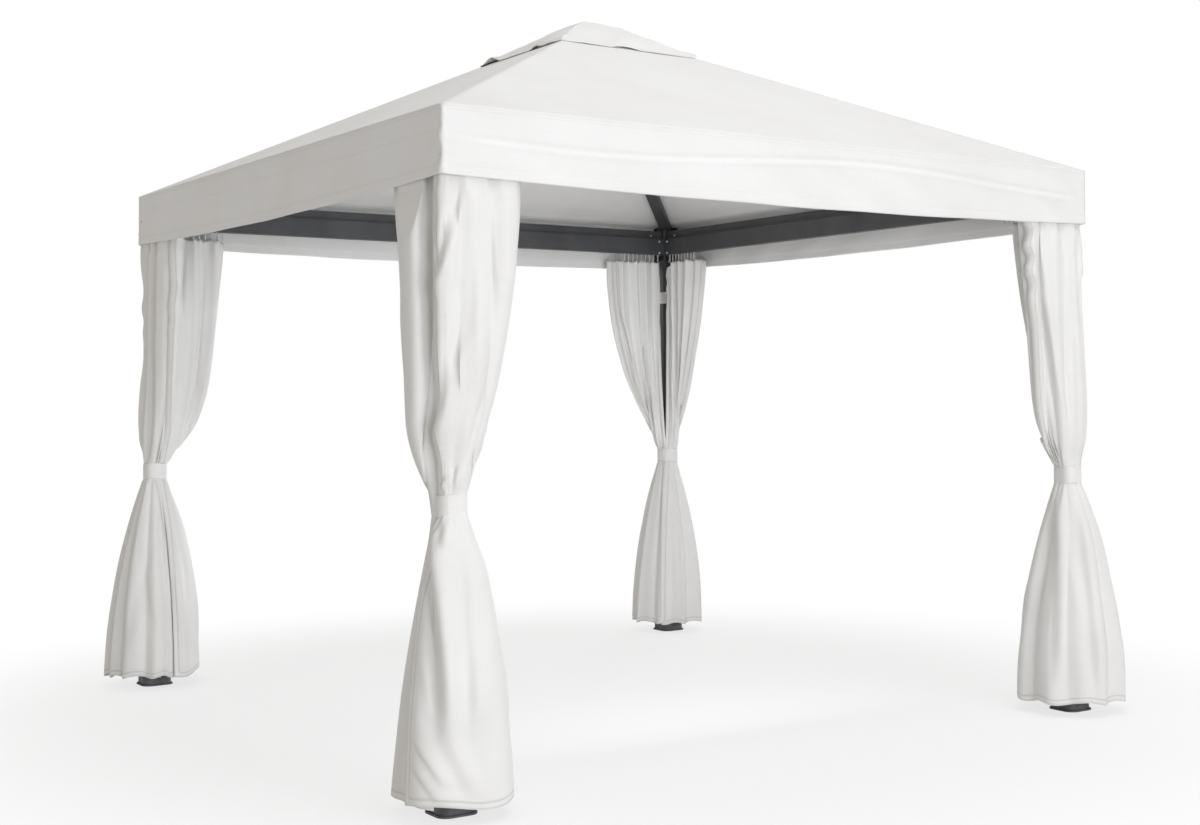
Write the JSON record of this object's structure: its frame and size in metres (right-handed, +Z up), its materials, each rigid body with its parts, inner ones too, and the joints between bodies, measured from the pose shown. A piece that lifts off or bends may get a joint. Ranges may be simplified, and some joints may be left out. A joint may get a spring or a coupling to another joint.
{
  "type": "metal gazebo with cloth roof and tied curtains",
  "caption": "Square garden gazebo: metal posts, beams and hip rafters under a pitched cloth roof with a raised vent hood, with gathered curtains tied at the posts.",
  "frame": {"origin": "on the ground, in the middle of the four posts", "axes": "+X along the front side to the right, +Y from the front side to the back side, +Z up"},
  "size_m": [3.283, 3.283, 2.941],
  "materials": {
    "frame_paint": "satin anthracite powder coat on aluminium tube",
    "joint_plastic": "fine grained black moulding",
    "foot_plastic": "fine grained anthracite moulding",
    "roof_cloth": "off-white coated polyester, plain weave",
    "curtain_cloth": "off-white light polyester, plain weave",
    "runner_steel": "plain steel wire and clips"
  },
  "bodies": {
    "root": {"foot_front_left": "foot_plastic", "post_front_left": "frame_paint", "corner_joint_front_left": "joint_plastic", "tie_band_front_left": "curtain_cloth", "curtain_front_left_on_front": "curtain_cloth", "curtain_front_left_on_left": "curtain_cloth", "rafter_front_left": "frame_paint", "foot_front_right": "foot_plastic", "post_front_right": "frame_paint", "corner_joint_front_right": "joint_plastic", "tie_band_front_right": "curtain_cloth", "curtain_front_right_on_front": "curtain_cloth", "curtain_front_right_on_right": "curtain_cloth", "rafter_front_right": "frame_paint", "foot_back_left": "foot_plastic", "post_back_left": "frame_paint", "corner_joint_back_left": "joint_plastic", "tie_band_back_left": "curtain_cloth", "curtain_back_left_on_back": "curtain_cloth", "curtain_back_left_on_left": "curtain_cloth", "rafter_back_left": "frame_paint", "foot_back_right": "foot_plastic", "post_back_right": "frame_paint", "corner_joint_back_right": "joint_plastic", "tie_band_back_right": "curtain_cloth", "curtain_back_right_on_back": "curtain_cloth", "curtain_back_right_on_right": "curtain_cloth", "rafter_back_right": "frame_paint", "beam_front": "frame_paint", "roof_panel_front": "roof_cloth", "valance_front": "roof_cloth", "beam_right": "frame_paint", "roof_panel_right": "roof_cloth", "valance_right": "roof_cloth", "beam_back": "frame_paint", "roof_panel_back": "roof_cloth", "valance_back": "roof_cloth", "beam_left": "frame_paint", "roof_panel_left": "roof_cloth", "valance_left": "roof_cloth", "post_straps": "curtain_cloth", "curtain_runners": "runner_steel", "roof_hub": "frame_paint", "hood_frame": "frame_paint", "vent_hood": "roof_cloth"}
  },
  "joints": []
}
